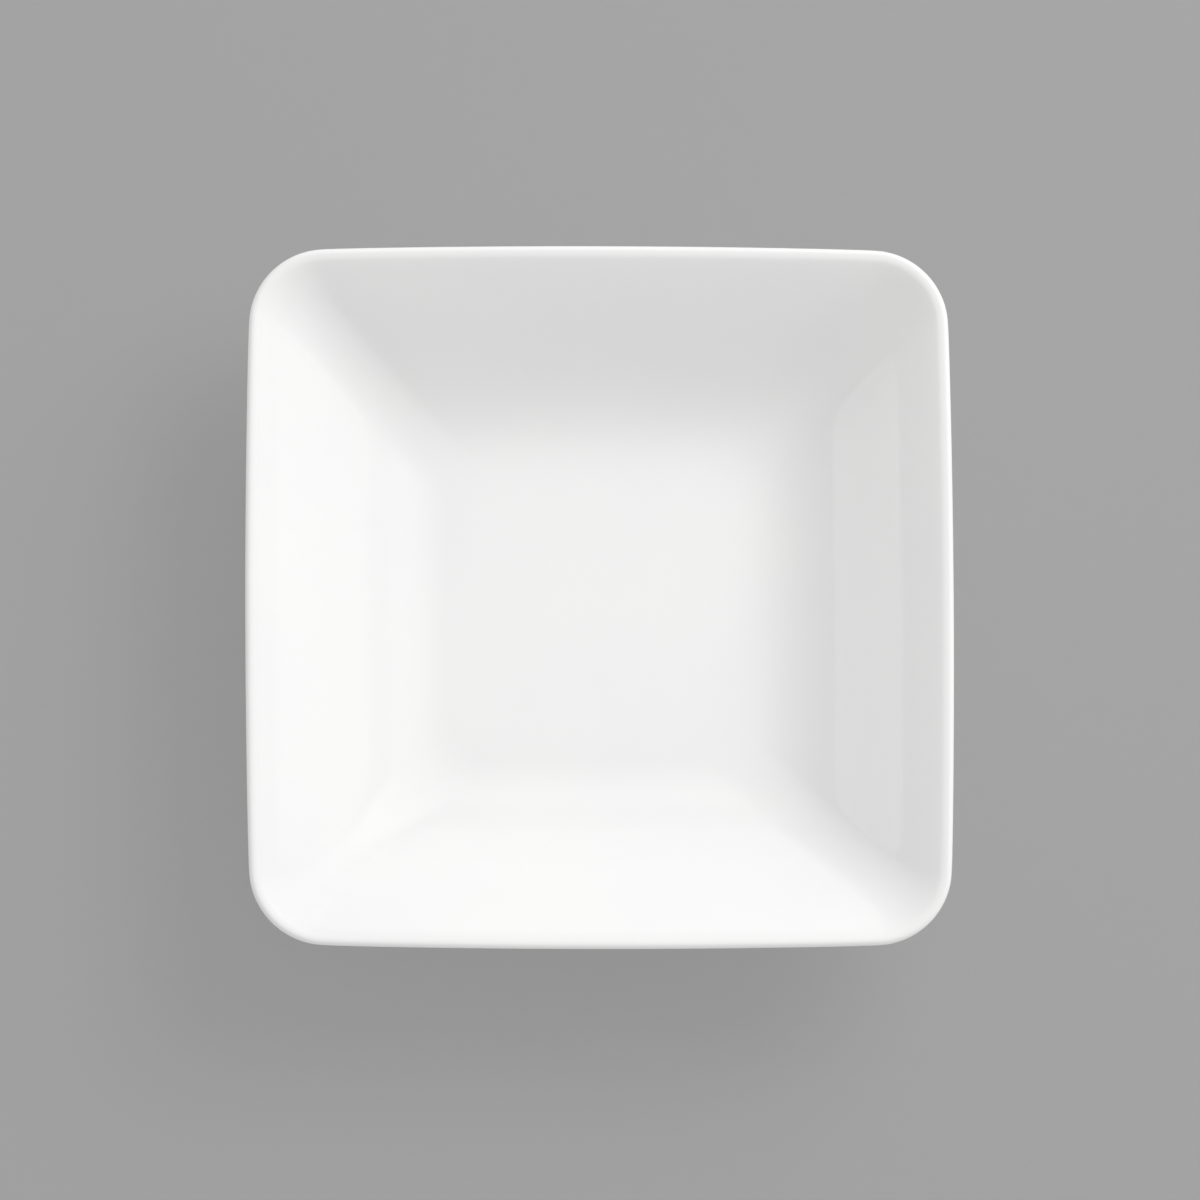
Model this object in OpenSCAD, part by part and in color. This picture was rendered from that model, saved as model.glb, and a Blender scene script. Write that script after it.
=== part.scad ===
// A square soup plate of white porcelain: a fired body and the two coats of glaze that cover it.
// The plate stands on z = 0 with its middle on the Z axis, and its sides face along X and Y.

/* [Plate] */
// Width across the middles of two opposite sides, glaze included
plate_w = 210; // [190:1:240]
// Height from the table to the top of the lip
plate_h = 50; // [42:0.5:58]
// Radius of the outline at the four corners of the lip
rim_corner_r = 23; // [16:0.5:32]
// Radius of the gentle outward curve along each side
side_r = 3300; // [1500:100:9000]

/* [Well] */
// Width of the flat floor inside
floor_w = 91.4; // [84:0.2:96]
// Radius of the outline at the four corners of the floor and along the hollow corners of the wall
floor_corner_r = 13; // [9:0.5:17]
// Slope of the wall just below the lip, measured from the table
lip_slope = 42.4; // [40:0.2:46]
// How far the wall's curve is drawn out along the floor as it leaves it
floor_pull = 20; // [14:0.5:24]
// How far the wall's curve is drawn out down the slope as it comes up to the lip
lip_pull = 33; // [26:0.5:38]
// Thickness of the floor, glaze included
floor_t = 5; // [4:0.1:6.5]
// Thickness of the rolled lip and of the wall below it, glaze included
lip_t = 4.8; // [3.8:0.1:6]

/* [Foot] */
// Width across the bare foot ring where it meets the table
foot_w = 108; // [102:1:114]
// Width of the foot ring itself where it meets the table
foot_ring_w = 4.4; // [3.6:0.1:5.6]
// Radius of the outline at the four outer corners of the foot ring
foot_corner_r = 16; // [13:0.5:22]
// Height of the foot ring below the base
foot_h = 3; // [2.4:0.1:3.8]
// Lean of both sides of the foot ring from upright
foot_lean = 16; // [8:1:24]
// Reach of the hollows that join the foot ring to the wall and to the base
foot_hollow = 3; // [2:0.1:4]
// Rounding of the two bare edges of the foot ring
foot_edge_r = 0.7; // [0.4:0.1:0.9]

/* [Glaze] */
// Thickness of both coats of glaze
glaze_t = 0.3; // [0.2:0.05:0.4]
// Height above the table at which both coats end on the foot ring
glaze_line = 1.1; // [1:0.1:1.4]

/* [Hidden] */
// Steps along each side and round each corner of an outline
side_steps = 6;
corner_steps = 10;
ring_n = 4*(side_steps + corner_steps);
// Steps along the parts of the section, where the lip takes four times lip_steps
wall_steps = 12;
lip_steps = 2;
outside_steps = 8;
hollow_steps = 3;
edge_steps = 2;
// Samples used to find a place on the outside of the wall
search_steps = 100;
// Difference of two corner radii over which one changes softly into the other
corner_blend = 6;

half_w = plate_w/2;
floor_half = floor_w/2;
foot_half = foot_w/2;
floor_z = foot_h + floor_t;
lip_r = lip_t/2;
lip_mid = [half_w - lip_r, plate_h - lip_r];
lean = tan(foot_lean);
glaze_gap = glaze_t/cos(foot_lean);

// The outline at a half width x: four gentle side arcs that run into four corner arcs of radius r
function quarter_turns(p, k) = k == 0 ? p : quarter_turns([-p.y, p.x], k - 1);
function outline(x, r) =
    let (
        side_mid = x - side_r,
        corner_mid = (side_mid + sqrt(2*pow(side_r - r, 2) - pow(side_mid, 2)))/2,
        reach = atan2(corner_mid, corner_mid - side_mid),
        side = [
            for (i = [0:side_steps - 1])
                let (a = reach*(2*i/side_steps - 1))
                [side_mid + side_r*cos(a), side_r*sin(a)]
        ],
        corner = [
            for (i = [0:corner_steps - 1])
                let (a = reach + (90 - 2*reach)*i/corner_steps)
                [corner_mid + r*cos(a), corner_mid + r*sin(a)]
        ]
    )
    [for (k = [0:3]) each [for (p = concat(side, corner)) quarter_turns(p, k)]];

// The section through the middle of a side is a path of points [half width, height].
// A third number gives each point the corner radius of its outline, and outlines that lie behind
// each other are parallel. Low in the well the radius is floor_corner_r. Near the lip the corners
// follow the lip's own corners, and corner_blend softens the change between the two.
function parallel_r(x) = rim_corner_r - (half_w - x);
function face_r(x) =
    let (overlap = max(0, corner_blend - abs(parallel_r(x) - floor_corner_r)))
    max(parallel_r(x), floor_corner_r) + overlap*overlap/(4*corner_blend);
function lip_corner(p) = [each p, parallel_r(p.x)];
function foot_corner(p) = [each p, foot_corner_r + p.x - foot_half];

function unit(v) = v/norm(v);
function right_of(v) = [v.y, -v.x];
function backwards(path) = [for (i = [len(path) - 1:-1:0]) path[i]];
// A curve from a to c that leaves towards b, and the same curve moved d to the right of its run
function bend(a, b, c, u) = pow(1 - u, 2)*a + 2*(1 - u)*u*b + u*u*c;
function bend_moved(a, b, c, u, d) =
    bend(a, b, c, u) + d*right_of(unit((1 - u)*(b - a) + u*(c - b)));

// The face of the wall is one smooth curve from the level floor up to the lip. It is steepest
// about two thirds of the way up, and leans out a little again below the lip.
wall_low = [floor_half, floor_z];
wall_top = lip_mid + lip_r*[-sin(lip_slope), cos(lip_slope)];
pull_low = wall_low + [floor_pull, 0];
pull_top = wall_top - lip_pull*[cos(lip_slope), sin(lip_slope)];
function wall_face(u) =
    pow(1 - u, 3)*wall_low + 3*pow(1 - u, 2)*u*pull_low
    + 3*(1 - u)*u*u*pull_top + pow(u, 3)*wall_top;
function wall_run(u) =
    unit(pow(1 - u, 2)*(pull_low - wall_low) + 2*(1 - u)*u*(pull_top - pull_low)
    + u*u*(wall_top - pull_top));
// A point of the wall at a depth d behind its face, the same with its corner radius, and the
// wall's thickness there
function wall_point(u, d) = wall_face(u) + d*right_of(wall_run(u));
function wall_corner(u, d) =
    let (x = wall_face(u).x, p = wall_point(u, d))
    [each p, face_r(x) + p.x - x];
function wall_t(u) = floor_t + (lip_t - floor_t)*u;

// The lip turns half a circle, with a point at its top and one at its widest
lip_angles = concat(
    [for (i = [1:lip_steps]) 90 + lip_slope*(1 - i/lip_steps)],
    [for (i = [1:2*lip_steps]) 90*(1 - i/(2*lip_steps))],
    [for (i = [1:lip_steps - 1]) -(90 - lip_slope)*i/lip_steps]
);

// Both sides of the foot ring lean, so it is narrowest at the table
function bare_out(z) = foot_half + z*lean;
function bare_in(z) = foot_half - foot_ring_w - z*lean;
function glazed_out(z) = bare_out(z) + glaze_gap;
function glazed_in(z) = bare_in(z) - glaze_gap;

// The hollow outside the foot ring starts on the wall, foot_hollow away from the ring
outside_table = [for (i = [0:search_steps]) [wall_point(i/search_steps, floor_t).x, i/search_steps]];
hollow_u = lookup(glazed_out(foot_h) + foot_hollow, outside_table);
hollow_top = wall_point(hollow_u, wall_t(hollow_u));
hollow_r = wall_corner(hollow_u, wall_t(hollow_u)).z;
hollow_run = wall_run(hollow_u);
hollow_knee = hollow_top - hollow_run*(hollow_top.x - glazed_out(hollow_top.y))
    /(hollow_run.x - hollow_run.y*lean);
hollow_low = [glazed_out(glaze_line), glaze_line];
// Along the hollow the corner radius changes from the wall's to the foot ring's
function hollow_corner(p, u) = (1 - u)*[each p, hollow_r + p.x - hollow_top.x] + u*foot_corner(p);

// Section at a depth d under the glazed surface: the floor's edge, the wall, the lip and the outside
function coat_path(d) = concat(
    [for (i = [0:wall_steps]) wall_corner(i/wall_steps, d)],
    [for (a = lip_angles) lip_corner(lip_mid + (lip_r - d)*[cos(a), sin(a)])],
    [
        for (i = [0:outside_steps])
            let (u = 1 - (1 - hollow_u)*i/outside_steps)
            wall_corner(u, wall_t(u) - d)
    ],
    [
        for (i = [1:hollow_steps])
            let (u = i/hollow_steps)
            hollow_corner(bend_moved(hollow_top, hollow_knee, hollow_low, u, d), u)
    ]
);

// Section at a depth d under the glazed surface inside the foot ring, up to the level base
function base_path(d) = [
    for (i = [0:hollow_steps])
        foot_corner(bend_moved(
            [glazed_in(glaze_line), glaze_line],
            [glazed_in(foot_h), foot_h],
            [glazed_in(foot_h) - foot_hollow, foot_h],
            i/hollow_steps,
            d
        ))
];

// Bare end of the foot ring: two rounded edges with the level standing face between them
ring_out = [foot_half, 0];
ring_in = [foot_half - foot_ring_w, 0];
edge_in = [foot_edge_r, 0];
bare_path = concat(
    [
        for (i = [0:edge_steps])
            bend([bare_out(foot_edge_r), foot_edge_r], ring_out, ring_out - edge_in, i/edge_steps)
    ],
    [
        for (i = [0:edge_steps])
            bend(ring_in + edge_in, ring_in, [bare_in(foot_edge_r), foot_edge_r], i/edge_steps)
    ]
);

// A closed solid through rings of one outline each, in the order of a section path.
// A level face closes the first ring from above and the last ring from below.
// From ring back_from to ring back_to the triangles lean the other way, so that the inner skin
// of a coat has the same triangles as the body under it.
module loft(path, back_from = 0, back_to = 0) {
    points = [for (p = path) each [for (q = outline(p.x, p.z)) [q.x, q.y, p.y]]];
    last = (len(path) - 1)*ring_n;
    top_face = [for (j = [ring_n - 1:-1:0]) j];
    low_face = [for (j = [0:ring_n - 1]) last + j];
    skin = [
        for (i = [0:len(path) - 2], j = [0:ring_n - 1])
            let (
                a = i*ring_n + j,
                b = i*ring_n + (j + 1)%ring_n,
                c = a + ring_n,
                d = b + ring_n
            )
            each i >= back_from && i < back_to ? [[a, b, c], [b, d, c]] : [[a, b, d], [a, d, c]]
    ];
    polyhedron(points, concat([top_face, low_face], skin), convexity = 4);
}

// The level end of the foot ring as one flat face, from the outer rounded edge to the inner one
module standing_face() {
    out_edge = foot_corner(ring_out - edge_in);
    in_edge = foot_corner(ring_in + edge_in);
    linear_extrude(foot_edge_r)
        difference() {
            polygon(outline(out_edge.x, out_edge.z));
            polygon(outline(in_edge.x, in_edge.z));
        }
}

// The fired porcelain: floor, wall, lip and foot ring in one piece, with a bare standing face
module porcelain_body() {
    bare_ring = [for (p = bare_path) foot_corner(p)];
    color([0.90, 0.89, 0.86])
        union() {
            loft(concat(coat_path(glaze_t), bare_ring, base_path(glaze_t)));
            standing_face();
        }
}

// The coat of clear glaze over the inside, the lip and the outside, down to the foot ring
module glaze_coat() {
    rings = len(coat_path(0));
    color([0.97, 0.97, 0.96])
        loft(concat(coat_path(0), backwards(coat_path(glaze_t))), rings, 2*rings - 1);
}

// The separate coat of glaze on the base inside the foot ring
module base_glaze() {
    rings = len(base_path(0));
    color([0.95, 0.95, 0.94])
        loft(concat(backwards(base_path(glaze_t)), base_path(0)), 0, rings - 1);
}

porcelain_body();
glaze_coat();
base_glaze();
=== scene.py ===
# %% [markdown]
# # A square soup plate of white porcelain
#
# A porcelain plate is one piece of clay, pressed to shape, fired, dipped in glaze and fired again. What
# the eye sees is the glaze: a hard coat of clear glass, about as thick as a sheet of card, over a white
# body. Only the end of the foot ring is bare, because glaze there would weld the plate to the kiln shelf.
#
# The frame holds the plate's solids at their real size. They are made of flat triangles, which a glossy
# glaze would show at once, so each solid gets a smooth mesh that stands in for it, in the same place.

# %% Load the frame and keep its box
import math

import bmesh
import bpy
from mathutils import Matrix, Vector
from mathutils.geometry import interpolate_bezier


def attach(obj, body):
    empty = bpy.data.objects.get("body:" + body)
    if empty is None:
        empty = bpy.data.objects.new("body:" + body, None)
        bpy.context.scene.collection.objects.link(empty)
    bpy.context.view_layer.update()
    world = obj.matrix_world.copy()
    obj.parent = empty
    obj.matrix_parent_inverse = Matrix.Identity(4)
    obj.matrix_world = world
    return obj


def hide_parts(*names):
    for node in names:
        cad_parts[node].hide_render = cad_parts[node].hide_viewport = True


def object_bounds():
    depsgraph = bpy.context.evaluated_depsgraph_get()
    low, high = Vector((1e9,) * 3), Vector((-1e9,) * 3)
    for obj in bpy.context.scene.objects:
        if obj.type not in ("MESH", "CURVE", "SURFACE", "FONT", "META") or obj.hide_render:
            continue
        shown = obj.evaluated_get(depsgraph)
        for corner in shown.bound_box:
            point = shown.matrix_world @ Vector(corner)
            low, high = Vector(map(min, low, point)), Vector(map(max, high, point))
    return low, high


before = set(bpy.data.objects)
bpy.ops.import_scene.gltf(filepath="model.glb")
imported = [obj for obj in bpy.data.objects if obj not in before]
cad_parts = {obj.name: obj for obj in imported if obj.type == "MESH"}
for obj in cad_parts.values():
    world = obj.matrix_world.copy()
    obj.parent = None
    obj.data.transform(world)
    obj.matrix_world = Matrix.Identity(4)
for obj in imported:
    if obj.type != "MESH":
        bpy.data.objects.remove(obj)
cad_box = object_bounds()
cad_size = cad_box[1] - cad_box[0]
print("solids:", sorted(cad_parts), "box in mm:", [round(1000 * s, 1) for s in cad_size])

# %% [markdown]
# ## The section
#
# Cut through the middle of a side, the plate is a curve: a level floor, a smooth sweep up into the wall, a
# rolled lip, and back down the outside to the foot ring. A section like this could be drawn by eye with a
# curve object, but the glaze has to lie on the body to a tenth of a millimetre, so it is worked out from
# the plate's own sizes. Each point says how far it is from the middle, and how high it is.
#
# The solid's lip is a plain half round. In the photo the lip rises softly out of the well and turns over
# tightly at its edge, so here it has three bends, which stay within half a millimetre of the solid.

# %% Sizes of the well and the lip, in millimetres
MM = 0.001
HALF_WIDTH = cad_size.x / 2 / MM
HEIGHT = cad_box[1].z / MM
FLOOR_HALF = 45.7
FLOOR_THICK = 5.0
FOOT_HEIGHT = 3.0
LIP_THICK = 4.8
LIP_CREST = 1.5
LIP_SOFT = 4.0
LIP_SLOPE = math.radians(42.4)
FLOOR_PULL = 20.0
LIP_PULL = 33.0
floor_z = FOOT_HEIGHT + FLOOR_THICK
print("half width", round(HALF_WIDTH, 2), "height", round(HEIGHT, 2), "floor at", floor_z)

# %% The face of the wall: one Bezier curve from the level floor up to the lip
WALL_STEPS = 12
lip_crest = Vector((HALF_WIDTH - LIP_CREST, HEIGHT))
wall_low = Vector((FLOOR_HALF, floor_z))
wall_top = lip_crest + LIP_SOFT * Vector((-math.sin(LIP_SLOPE), math.cos(LIP_SLOPE) - 1))
wall_face = interpolate_bezier(
    wall_low,
    wall_low + Vector((FLOOR_PULL, 0)),
    wall_top - LIP_PULL * Vector((math.cos(LIP_SLOPE), math.sin(LIP_SLOPE))),
    wall_top,
    WALL_STEPS + 1,
)
print("wall face from", wall_face[0].to_tuple(1), "to", wall_face[-1].to_tuple(1))

# %% The outside of the wall, one thickness behind the face
def run_of(path, i):
    """The direction of a path at its point i."""
    return (path[min(i + 1, len(path) - 1)] - path[max(i - 1, 0)]).normalized()


def moved(path, distances):
    """The path shifted to the right of its own run, by a distance for each point."""
    runs = [run_of(path, i) for i in range(len(path))]
    return [p + d * Vector((run.y, -run.x)) for p, run, d in zip(path, runs, distances)]


wall_thick = [FLOOR_THICK + (LIP_THICK - FLOOR_THICK) * i / WALL_STEPS for i in range(WALL_STEPS + 1)]
wall_back = moved(wall_face, wall_thick)
print("outside of the wall from", wall_back[-1].to_tuple(1), "down to", wall_back[0].to_tuple(1))

# %% The lip: a soft bend inside, a tighter one over the edge, and an easy one back to the wall
LIP_STEPS = 2


def arc(centre, radius, start, end, steps):
    """Points after start, up to and including end, in degrees."""
    angles = [math.radians(start + (end - start) * (i + 1) / steps) for i in range(steps)]
    return [centre + radius * Vector((math.cos(a), math.sin(a))) for a in angles]


def bend(start, knee, end, steps):
    """A bend from start to end that leaves and arrives in the direction of the knee."""
    return interpolate_bezier(start, start.lerp(knee, 2 / 3), end.lerp(knee, 2 / 3), end, steps + 1)


lip = arc(lip_crest - Vector((0, LIP_SOFT)), LIP_SOFT, 90 + math.degrees(LIP_SLOPE), 90, LIP_STEPS)
lip += arc(lip_crest - Vector((0, LIP_CREST)), LIP_CREST, 90, 0, 2 * LIP_STEPS)
lip_knee = Vector((HALF_WIDTH, wall_back[-1].y + (HALF_WIDTH - wall_back[-1].x) * math.tan(LIP_SLOPE)))
lip += bend(lip[-1], lip_knee, wall_back[-1], LIP_STEPS)[1:]
print("lip points:", len(lip))

# %% [markdown]
# ## The foot ring in the section
#
# The plate stands on a low ring that follows the floor. Its sides lean, and a small hollow joins it to the
# wall outside and to the base inside. The glaze stops a millimetre above the table, where the maker wiped
# it off before firing. A hollow is a curve with one knee, so a Bezier curve whose two handles point at that
# knee draws it.

# %% Sizes of the foot ring and the glaze, in millimetres
FOOT_HALF = 54.0
FOOT_RING = 4.4
FOOT_LEAN = math.tan(math.radians(16))
FOOT_HOLLOW = 3.0
FOOT_EDGE = 0.7
GLAZE = 0.3
GLAZE_LINE = 1.1
HOLLOW_STEPS = 3
glaze_gap = GLAZE * math.hypot(1, FOOT_LEAN)


def foot_out(z, proud=0.0):
    return Vector((FOOT_HALF + z * FOOT_LEAN + proud, z))


def foot_in(z, proud=0.0):
    return Vector((FOOT_HALF - FOOT_RING - z * FOOT_LEAN - proud, z))


print("foot ring from", round(foot_in(0).x, 1), "to", foot_out(0).x, "mm from the middle")

# %% The outside of the plate: wall, then the hollow down to the end of the glaze
hollow_start_x = foot_out(FOOT_HEIGHT, glaze_gap).x + FOOT_HOLLOW
first = next(i for i, p in enumerate(wall_back) if p.x > hollow_start_x)
share = (hollow_start_x - wall_back[first - 1].x) / (wall_back[first].x - wall_back[first - 1].x)
hollow_start = wall_back[first - 1].lerp(wall_back[first], share)
hollow_run = run_of(wall_back, first)
reach = (hollow_start.x - foot_out(hollow_start.y, glaze_gap).x) / (hollow_run.x - hollow_run.y * FOOT_LEAN)
hollow_knee = hollow_start - hollow_run * reach
hollow_out = bend(hollow_start, hollow_knee, foot_out(GLAZE_LINE, glaze_gap), HOLLOW_STEPS)
print("hollow starts", round(hollow_start.y, 2), "mm above the table")

# %% Inside the foot ring: up from the end of the glaze to the level base
base_edge = foot_in(FOOT_HEIGHT, glaze_gap)
base_level = base_edge - Vector((FOOT_HOLLOW, 0))
base_in = bend(foot_in(GLAZE_LINE, glaze_gap), base_edge, base_level, HOLLOW_STEPS)
print("level base reaches", round(base_in[-1].x, 1), "mm from the middle")

# %% [markdown]
# ## From section to outline
#
# Seen from above, every level of the plate is a rounded square whose sides bow out by a millimetre. Its
# corners are tight low in the well. Near the lip they open out, because there the outlines run parallel to
# the lip. So each point of the section gets a third number, the radius of its corners, and becomes a
# station: half width, height, corner.

# %% Corner radii along the section
RIM_CORNER = 23.0
FLOOR_CORNER = 13.0
FOOT_CORNER = 16.0
CORNER_BLEND = 6.0


def face_corner(x):
    """The tight radius or the one parallel to the lip, whichever is larger, with a soft change."""
    parallel = RIM_CORNER - (HALF_WIDTH - x)
    overlap = max(0, CORNER_BLEND - abs(parallel - FLOOR_CORNER))
    return max(parallel, FLOOR_CORNER) + overlap**2 / (4 * CORNER_BLEND)


def station(p, near, near_corner):
    """A station at p whose outline is parallel to that of a nearby point."""
    return Vector((p.x, p.y, near_corner + p.x - near.x))


def foot_station(p):
    return station(p, foot_out(0), FOOT_CORNER)


def level_stations(edge, shares):
    """Smaller copies of a station on the same level, towards the middle."""
    return [Vector((edge.x * s, edge.y, edge.z * s)) for s in shares]


print("corner radius on the floor", face_corner(FLOOR_HALF), "and at the lip", face_corner(HALF_WIDTH))

# %% Stations of the face, the lip, the outside and the hollow at the foot
face_stations = [station(p, p, face_corner(p.x)) for p in wall_face + lip]
back_stations = [station(p, face, face_corner(face.x)) for p, face in zip(wall_back, wall_face)]
hollow_corner = back_stations[first - 1].lerp(back_stations[first], share).z
hollow_stations = [
    station(p, hollow_start, hollow_corner).lerp(foot_station(p), i / HOLLOW_STEPS)
    for i, p in enumerate(hollow_out)
]
outside_stations = back_stations[-2:first:-1] + hollow_stations
print("stations from the floor to the foot:", len(face_stations + outside_stations))

# %% [markdown]
# ## Drawing the plate up, ring by ring
#
# A potter draws a wall up; here an outline is drawn up in the same way. It starts as a small square face
# whose four corners are rounded by a vertex bevel. Extruding its rim gives a new ring, and three plain
# moves take that ring to the next station: each corner group is scaled about its own centre and slid along
# its diagonal, and the points along the sides are stretched to fit. A loft between curves would do the
# same, but extruding keeps every ring's points in step, which is what a smooth subdivision needs.

# %% The first outline
CORNER_STEPS = 8
SIDE_STEPS = 6
SIDE_RADIUS = 3300.0


def corner_centre(station):
    """How far a corner's centre is from the middle, along X and along Y."""
    half, _, corner = station
    return SIDE_RADIUS * (math.sqrt(1 + 2 * (half - corner) / SIDE_RADIUS) - 1)


def first_outline(bm, station):
    centre, corner = corner_centre(station), station.z
    bmesh.ops.create_grid(bm, x_segments=1, y_segments=1, size=centre + corner)
    bmesh.ops.translate(bm, vec=(0, 0, station.y), verts=bm.verts)
    round_off = {"affect": "VERTICES", "segments": CORNER_STEPS, "profile": 0.5, "material": -1}
    bmesh.ops.bevel(bm, geom=bm.verts[:], offset=corner, **round_off)
    sides = [e for e in bm.edges if e.calc_length() > corner]
    bmesh.ops.subdivide_edges(bm, edges=sides, cuts=SIDE_STEPS - 1)


trial = bmesh.new()
first_outline(trial, face_stations[0])
print("points in a ring:", len(trial.verts), "faces:", len(trial.faces))
trial.free()

# %% One more ring
NEAR = 0.001


def move_ring(bm, verts, old, new):
    """Takes a ring of points from one station to another."""
    old_centre, new_centre = corner_centre(old), corner_centre(new)
    in_x = [v for v in verts if abs(v.co.y) < old_centre - NEAR]
    in_y = [v for v in verts if abs(v.co.x) < old_centre - NEAR]
    along, across = new_centre / old_centre, (new_centre + new.z) / (old_centre + old.z)
    bmesh.ops.scale(bm, vec=(across, along, 1), verts=in_x)
    bmesh.ops.scale(bm, vec=(along, across, 1), verts=in_y)
    for x, y in ((1, 1), (-1, 1), (-1, -1), (1, -1)):
        corner = [v for v in verts if v not in in_x and v not in in_y and v.co.x * x > 0 and v.co.y * y > 0]
        to_centre = Matrix.Translation((-x * old_centre, -y * old_centre, 0))
        bmesh.ops.scale(bm, vec=(new.z / old.z, new.z / old.z, 1), space=to_centre, verts=corner)
        bmesh.ops.translate(bm, vec=Vector((x, y, 0)) * (new_centre - old_centre), verts=corner)
    bmesh.ops.translate(bm, vec=(0, 0, new.y - old.y), verts=verts)


def bow_sides(verts, station):
    """Bows the straight sides of a ring out, most in the middle."""
    centre = corner_centre(station)
    for v in verts:
        for axis in (0, 1):
            along = v.co[1 - axis]
            if abs(along) < centre:
                v.co[axis] += math.copysign((centre**2 - along**2) / (2 * SIDE_RADIUS), v.co[axis])


# %% All rings of a piece
def draw_up(stations, closed):
    """A bmesh in metres that runs through all stations, from a face in the middle of the first one."""
    bm = bmesh.new()
    first_outline(bm, stations[0])
    rings = [bm.verts[:]]
    rim = bm.edges[:]
    for old, new in zip(stations, stations[1:]):
        made = bmesh.ops.extrude_edge_only(bm, edges=rim)["geom"]
        verts = [g for g in made if isinstance(g, bmesh.types.BMVert)]
        rim = [g for g in made if isinstance(g, bmesh.types.BMEdge) and all(v in verts for v in g.verts)]
        move_ring(bm, verts, old, new)
        rings.append(verts)
    for verts, station in zip(rings, stations):
        bow_sides(verts, station)
    if closed:
        bmesh.ops.edgeloop_fill(bm, edges=rim)
        bmesh.ops.recalc_face_normals(bm, faces=bm.faces)
    bmesh.ops.scale(bm, vec=(MM, MM, MM), verts=bm.verts)
    return bm


def smooth_piece(name, bm, levels):
    """An object with smooth shading and a subdivision surface."""
    mesh = bpy.data.meshes.new(name)
    bm.to_mesh(mesh)
    bm.free()
    mesh.shade_smooth()
    piece = bpy.data.objects.new(name, mesh)
    bpy.context.scene.collection.objects.link(piece)
    if levels:
        subdivision = piece.modifiers.new("Smooth", "SUBSURF")
        subdivision.levels = subdivision.render_levels = levels
    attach(piece, "root")
    print(name, "has", len(mesh.polygons), "faces before smoothing")
    return piece


# %% [markdown]
# ## The coat of glaze
#
# This is the piece that shows: one skin over the floor, the wall, the lip and the outside. Only its outer
# surface is drawn. A Solidify modifier then gives it the thickness of real glaze, inwards, and closes it at
# the foot ring, where the subdivision rounds it into the small bead that melted glaze leaves.

# %% Draw the coat and give it its thickness
FLOOR_RINGS = (0.3, 0.92)
SMOOTH_LEVELS = 2
coat_stations = face_stations + outside_stations
coat_bm = draw_up(level_stations(coat_stations[0], FLOOR_RINGS) + coat_stations, closed=False)
glaze_coat = smooth_piece("glaze_coat_smooth", coat_bm, 0)
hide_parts("glaze_coat")


def give_thickness(piece, thickness, levels):
    solid = piece.modifiers.new("Thickness", "SOLIDIFY")
    solid.thickness = thickness
    solid.offset = -1
    subdivision = piece.modifiers.new("Smooth", "SUBSURF")
    subdivision.levels = subdivision.render_levels = levels


give_thickness(glaze_coat, GLAZE * MM, SMOOTH_LEVELS)
print("floor faces up:", glaze_coat.data.polygons[0].normal.z > 0)

# %% [markdown]
# ## The glaze on the base
#
# The base inside the foot ring is glazed too, but the bare ring cuts that coat off from the other one. It
# starts from the middle of the base and runs down the inside of the ring, so its faces have to be turned to
# look at the table.

# %% Draw the base coat
base_stations = [foot_station(p) for p in base_in]
base_bm = draw_up(level_stations(base_stations[-1], FLOOR_RINGS) + base_stations[::-1], closed=False)
bmesh.ops.reverse_faces(base_bm, faces=base_bm.faces)
base_glaze = smooth_piece("base_glaze_smooth", base_bm, 0)
give_thickness(base_glaze, GLAZE * MM, SMOOTH_LEVELS)
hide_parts("base_glaze")
print("base faces down:", base_glaze.data.polygons[0].normal.z < 0)

# %% [markdown]
# ## The porcelain body
#
# The body lies one coat deep under both glazes and shows only at the end of the foot ring. It is drawn
# whole, from the middle of the floor round to the middle of the base, so that the plate is solid when it is
# cut or weighed. Close pairs of rings at the foot keep its edges rounded but tight.

# %% Draw the body
EDGE_STEPS = 3


def sunk(stations, depth):
    """The same stations at a depth under the surface, with parallel outlines."""
    points = moved([s.xy for s in stations], [depth] * len(stations))
    return [station(p, s, s.z) for p, s in zip(points, stations)]


under_coat = sunk(coat_stations, GLAZE)
under_base = sunk(base_stations, GLAZE)
edge = Vector((FOOT_EDGE, 0))
foot_end = bend(foot_out(FOOT_EDGE), foot_out(0), foot_out(0) - edge, EDGE_STEPS)
foot_end += bend(foot_in(0) + edge, foot_in(0), foot_in(FOOT_EDGE), EDGE_STEPS)
body_stations = (
    level_stations(under_coat[0], FLOOR_RINGS)
    + under_coat
    + [foot_station(p) for p in foot_end]
    + under_base
    + level_stations(under_base[-1], reversed(FLOOR_RINGS))
)
body = smooth_piece("porcelain_body_smooth", draw_up(body_stations, closed=True), SMOOTH_LEVELS)
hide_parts("porcelain_body")

# %% [markdown]
# ## Finish: white glaze
#
# Glaze is glass, so its colour comes from the white body under it and its life from reflections. A perfect
# mirror would look like plastic. Real glaze is a little cloudy, ripples as it melts, and drains off the
# lip, where the warmer body shows through. A painted picture could show that, but it would need a flat map
# of the plate. Noise and height on the piece's own coordinates need none, and stay put from every side.

# %% A helper that adds shader nodes
def add(tree, kind, inputs=None, **settings):
    """A shader node with its settings, and its inputs set to values or linked to other nodes' outputs."""
    made = tree.nodes.new("ShaderNode" + kind)
    for name, value in settings.items():
        setattr(made, name, value)
    for key, value in (inputs or {}).items():
        if isinstance(value, bpy.types.NodeSocket):
            tree.links.new(value, made.inputs[key])
        else:
            made.inputs[key].default_value = value
    return made


def new_material(name):
    material = bpy.data.materials.new(name)
    material.use_nodes = True
    return material, material.node_tree, material.node_tree.nodes["Principled BSDF"]


def noise(tree, place, size, detail):
    """Soft noise with features of about this size, in metres."""
    return add(tree, "TexNoise", {"Vector": place, "Scale": 1 / size, "Detail": detail}).outputs["Fac"]


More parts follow.
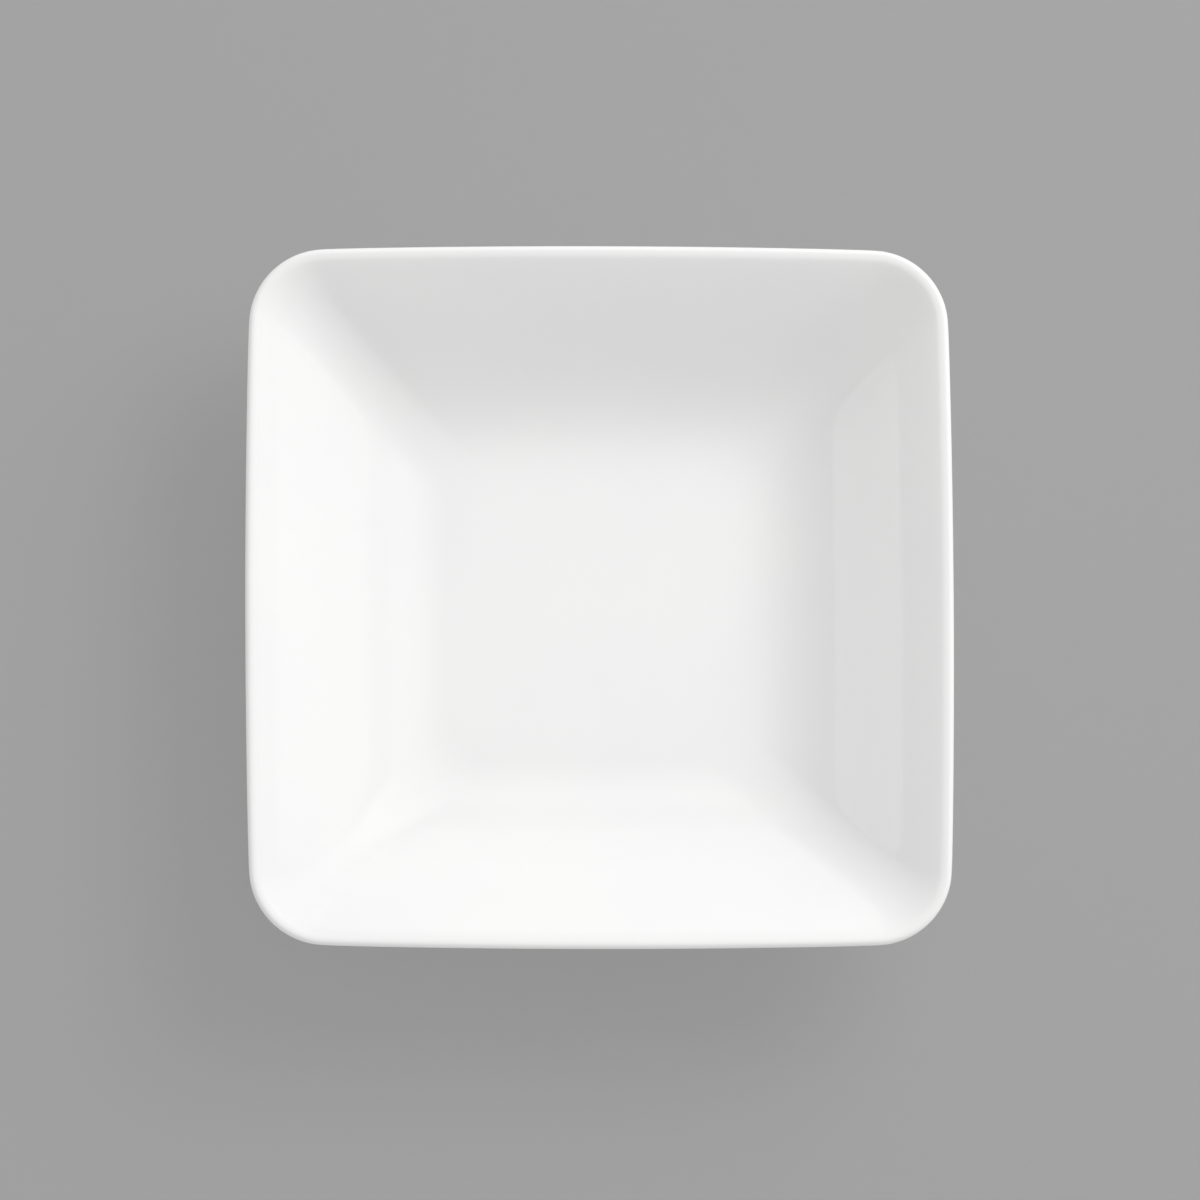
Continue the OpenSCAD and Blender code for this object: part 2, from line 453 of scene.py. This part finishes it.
def between(tree, value, start, end, low, high):
    """The value's way from start to end, as a number from low to high."""
    inputs = {"Value": value, "From Min": start, "From Max": end, "To Min": low, "To Max": high}
    return add(tree, "MapRange", inputs, interpolation_type="SMOOTHSTEP").outputs["Result"]


def tint(tree, factor, first, second):
    """A colour between two colours, or on top of a linked one."""
    return add(tree, "Mix", {0: factor, 6: first, 7: second}, data_type="RGBA").outputs[2]


def connect(tree, shader, sockets):
    """Links sockets to the shader's inputs of these names."""
    for name, socket in sockets.items():
        tree.links.new(socket, shader.inputs[name])


# %% The glaze
WHITE = (0.86, 0.86, 0.855, 1)
CLOUD_WHITE = (0.846, 0.848, 0.846, 1)
CLOUD_SIZE = 0.06
LIP_WHITE = (0.79, 0.786, 0.775, 1)
DRAINED_BAND = 1.6
DRAINED = 0.25
GLASS_IOR = 1.58
SMEAR_SIZE = 0.02
SMOOTHEST, DULLEST = 0.03, 0.05
PEEL_SIZE, PEEL_DEPTH = 0.0016, 0.000002
RIPPLE_SIZE, RIPPLE_DEPTH = 0.014, 0.00001


def glaze_finish():
    material, tree, shader = new_material("white_glaze")
    place = add(tree, "TexCoord").outputs["Object"]
    height = add(tree, "SeparateXYZ", {"Vector": place}).outputs["Z"]
    clouds = between(tree, noise(tree, place, CLOUD_SIZE, 3), 0.35, 0.7, 0, 1)
    drained = between(tree, height, (HEIGHT - DRAINED_BAND) * MM, HEIGHT * MM, 0, DRAINED)
    white = tint(tree, drained, tint(tree, clouds, WHITE, CLOUD_WHITE), LIP_WHITE)
    smear = between(tree, noise(tree, place, SMEAR_SIZE, 2), 0.3, 0.7, SMOOTHEST, DULLEST)
    peel = add(tree, "Bump", {"Height": noise(tree, place, PEEL_SIZE, 1), "Distance": PEEL_DEPTH})
    ripple = add(tree, "Bump", {"Height": noise(tree, place, RIPPLE_SIZE, 2), "Distance": RIPPLE_DEPTH})
    connect(tree, ripple, {"Normal": peel.outputs["Normal"]})
    connect(tree, shader, {"Base Color": white, "Roughness": smear, "Normal": ripple.outputs["Normal"]})
    shader.inputs["IOR"].default_value = GLASS_IOR
    return material


white_glaze = glaze_finish()
for piece in (glaze_coat, base_glaze):
    piece.data.materials.append(white_glaze)
print("glazed:", glaze_coat.name, base_glaze.name)

# %% [markdown]
# ## Finish: bare porcelain
#
# The unglazed end of the foot is dull, a little warm, and feels like very fine sandpaper. Iron in the clay
# leaves a few dark specks, and the standing face is greyed by tables and by the plates it was stacked on.
# Specks could be modelled as grains, but cells of a Voronoi texture cost nothing. The grey is noise that
# fades out just above the table, so only the face that rubs is worn.

# %% The bare porcelain
BISCUIT = (0.73, 0.71, 0.665, 1)
BISCUIT_PALE = (0.78, 0.765, 0.72, 1)
MOTTLE_SIZE = 0.008
WORN = (0.60, 0.59, 0.565, 1)
WORN_SIZE = 0.009
WORN_UP_TO = 0.00035
SPECK = (0.30, 0.26, 0.21, 1)
SPECKS_PER_METRE = 700.0
GRAIN_SIZE, GRAIN_DEPTH = 0.0005, 0.00006


def biscuit_finish():
    material, tree, shader = new_material("bare_porcelain")
    place = add(tree, "TexCoord").outputs["Object"]
    height = add(tree, "SeparateXYZ", {"Vector": place}).outputs["Z"]
    mottle = between(tree, noise(tree, place, MOTTLE_SIZE, 3), 0.35, 0.65, 0, 1)
    rubbed = between(tree, noise(tree, place, WORN_SIZE, 3), 0.35, 0.7, 0, 0.6)
    low = between(tree, height, WORN_UP_TO, 0.0, 0, 1)
    worn = add(tree, "Math", {0: rubbed, 1: low}, operation="MULTIPLY").outputs[0]
    cells = add(tree, "TexVoronoi", {"Vector": place, "Scale": SPECKS_PER_METRE}).outputs["Distance"]
    specks = between(tree, cells, 0.14, 0.08, 0, 0.7)
    clay = tint(tree, worn, tint(tree, mottle, BISCUIT, BISCUIT_PALE), WORN)
    clay = tint(tree, specks, clay, SPECK)
    grain = noise(tree, place, GRAIN_SIZE, 2)
    rough = between(tree, grain, 0.3, 0.7, 0.72, 0.9)
    bump = add(tree, "Bump", {"Height": grain, "Distance": GRAIN_DEPTH})
    connect(tree, shader, {"Base Color": clay, "Roughness": rough, "Normal": bump.outputs["Normal"]})
    return material


body.data.materials.append(biscuit_finish())
print("bare:", body.name)

# %% [markdown]
# ## Floor and light
#
# White on white would lose the plate's edge, so the floor looks grey. A table that dark would also leave
# the underside of the lip dull, so only the eye and the reflections get the grey: all other light meets a
# pale table and bounces off it. Part of the grey glows by itself, which keeps the plate's shadow soft.
#
# A big soft box at the back right is the main light. The rest of the studio is a sky that is brightest on
# the same side, so the two walls that face it are lightest, the two that turn from it are a shade darker,
# and nothing is so bright that it burns out. The lamp's own mirror image would draw a hard white stripe in
# the well, so reflections see a plain grey backdrop with a pale soft patch where the box hangs.

# %% The floor
TABLE = (0.88, 0.88, 0.88, 1)
FLOOR_GREY = (0.15, 0.15, 0.15, 1)
FLOOR_GLOW = 0.2
FLOOR_SIZE = 6.0
FLOOR_ROUGHNESS = 0.9


def larger(tree, first, second):
    return add(tree, "Math", {0: first, 1: second}, operation="MAXIMUM").outputs[0]


def seen_or_reflected(tree):
    """1 for the eye and for reflections, 0 for the light that bounces between surfaces."""
    rays = add(tree, "LightPath").outputs
    reflected = larger(tree, rays["Is Glossy Ray"], rays["Is Transmission Ray"])
    return larger(tree, rays["Is Camera Ray"], reflected)


def floor_finish():
    material, tree, shader = new_material("pale_floor")
    seen = seen_or_reflected(tree)
    shader.inputs["Roughness"].default_value = FLOOR_ROUGHNESS
    shader.inputs["Emission Color"].default_value = (1, 1, 1, 1)
    grey, glow = tint(tree, seen, TABLE, FLOOR_GREY), between(tree, seen, 0, 1, 0, FLOOR_GLOW)
    connect(tree, shader, {"Base Color": grey, "Emission Strength": glow})
    return material


def make_floor():
    bm = bmesh.new()
    bmesh.ops.create_grid(bm, x_segments=1, y_segments=1, size=FLOOR_SIZE / 2)
    mesh = bpy.data.meshes.new("floor")
    bm.to_mesh(mesh)
    bm.free()
    floor = bpy.data.objects.new("floor", mesh)
    bpy.context.scene.collection.objects.link(floor)
    mesh.materials.append(floor_finish())
    return floor


print("floor:", make_floor().name)

# %% The lamp: a soft box at the back right
LAMP_AZIMUTH = math.radians(45)
LAMP_ELEVATION = math.radians(45)
LAMP_DISTANCE = 1.6
LAMP_SIZE = 1.0
LAMP_POWER = 12.8


def make_lamp():
    data = bpy.data.lights.new("soft_box", "AREA")
    data.energy = LAMP_POWER
    data.size = LAMP_SIZE
    lamp = bpy.data.objects.new("soft_box", data)
    lamp.rotation_euler = (math.pi / 2 - LAMP_ELEVATION, 0, math.pi / 2 + LAMP_AZIMUTH)
    lamp.location = lamp.rotation_euler.to_matrix() @ Vector((0, 0, LAMP_DISTANCE))
    lamp.visible_glossy = False
    bpy.context.scene.collection.objects.link(lamp)
    return lamp


soft_box = make_lamp()
print("lamp at", [round(v, 2) for v in soft_box.location])

# %% The sky: brightest on the same side, and a plain backdrop to the eye
BACKDROP = 0.37
SHINE = 0.9
BOX_EDGE, BOX_FULL = 0.78, 0.92
SKY_LOW = 0.635
SKY_HIGH = 0.85


def towards(tree, aim):
    """How nearly a ray runs towards a point: 1 straight at it, -1 straight away from it."""
    inputs = {0: add(tree, "TexCoord").outputs["Generated"], 1: aim.normalized()}
    return add(tree, "VectorMath", inputs, operation="DOT_PRODUCT").outputs["Value"]


def make_sky():
    """Soft light from all round for the surfaces, and a plain backdrop with a pale patch to reflect."""
    world = bpy.data.worlds.new("sky")
    world.use_nodes = True
    tree = world.node_tree
    background = tree.nodes["Background"]
    background.inputs["Color"].default_value = (1, 1, 1, 1)
    bright_side = Vector((soft_box.location.x, soft_box.location.y, 0))
    inputs = {"From Min": -1, "From Max": 1, "To Min": SKY_LOW, "To Max": SKY_HIGH}
    sky = add(tree, "MapRange", {"Value": towards(tree, bright_side), **inputs}).outputs["Result"]
    box = between(tree, towards(tree, soft_box.location), BOX_EDGE, BOX_FULL, BACKDROP, SHINE)
    backdrop = add(tree, "Mix", {0: add(tree, "LightPath").outputs["Is Camera Ray"], 2: box, 3: BACKDROP})
    strength = add(tree, "Mix", {0: seen_or_reflected(tree), 2: sky, 3: backdrop.outputs[0]})
    tree.links.new(strength.outputs[0], background.inputs["Strength"])
    return world


bpy.context.scene.world = make_sky()
bpy.context.scene.view_settings.view_transform = "Standard"
print("sky from", SKY_LOW, "to", SKY_HIGH)

# %% [markdown]
# ## Camera
#
# The plate is seen almost from above, from far off: its far and near edges look the same length. A long
# lens at four metres gives that. A camera that isn't turned looks straight down with its top towards +Y, so
# three small turns are enough. The width of the view follows from how much of the frame the plate fills.

# %% The camera
FRAME_PX = 1200
PLATE_PX = 709.6
PLATE_MIDDLE_PX = Vector((599.8, 596.4))
TILT = math.radians(7.6)
LEAN = math.radians(-2.08)
TURN = math.radians(-0.2)
VIEW_DISTANCE = 4.0
SENSOR = 36.0

px = 2 * HALF_WIDTH * MM / PLATE_PX
offset = (PLATE_MIDDLE_PX - Vector((FRAME_PX / 2, FRAME_PX / 2))) * px
target = Vector((-offset.x, offset.y, (HEIGHT - LIP_CREST) * MM))
camera = bpy.data.objects.new("camera", bpy.data.cameras.new("camera"))
camera.data.sensor_width = SENSOR
camera.data.lens = SENSOR * VIEW_DISTANCE / (FRAME_PX * px)
camera.rotation_euler = (TILT, LEAN, TURN)
camera.location = target + camera.rotation_euler.to_matrix() @ Vector((0, 0, VIEW_DISTANCE))
bpy.context.scene.collection.objects.link(camera)
bpy.context.scene.camera = camera
print("lens", round(camera.data.lens), "mm")
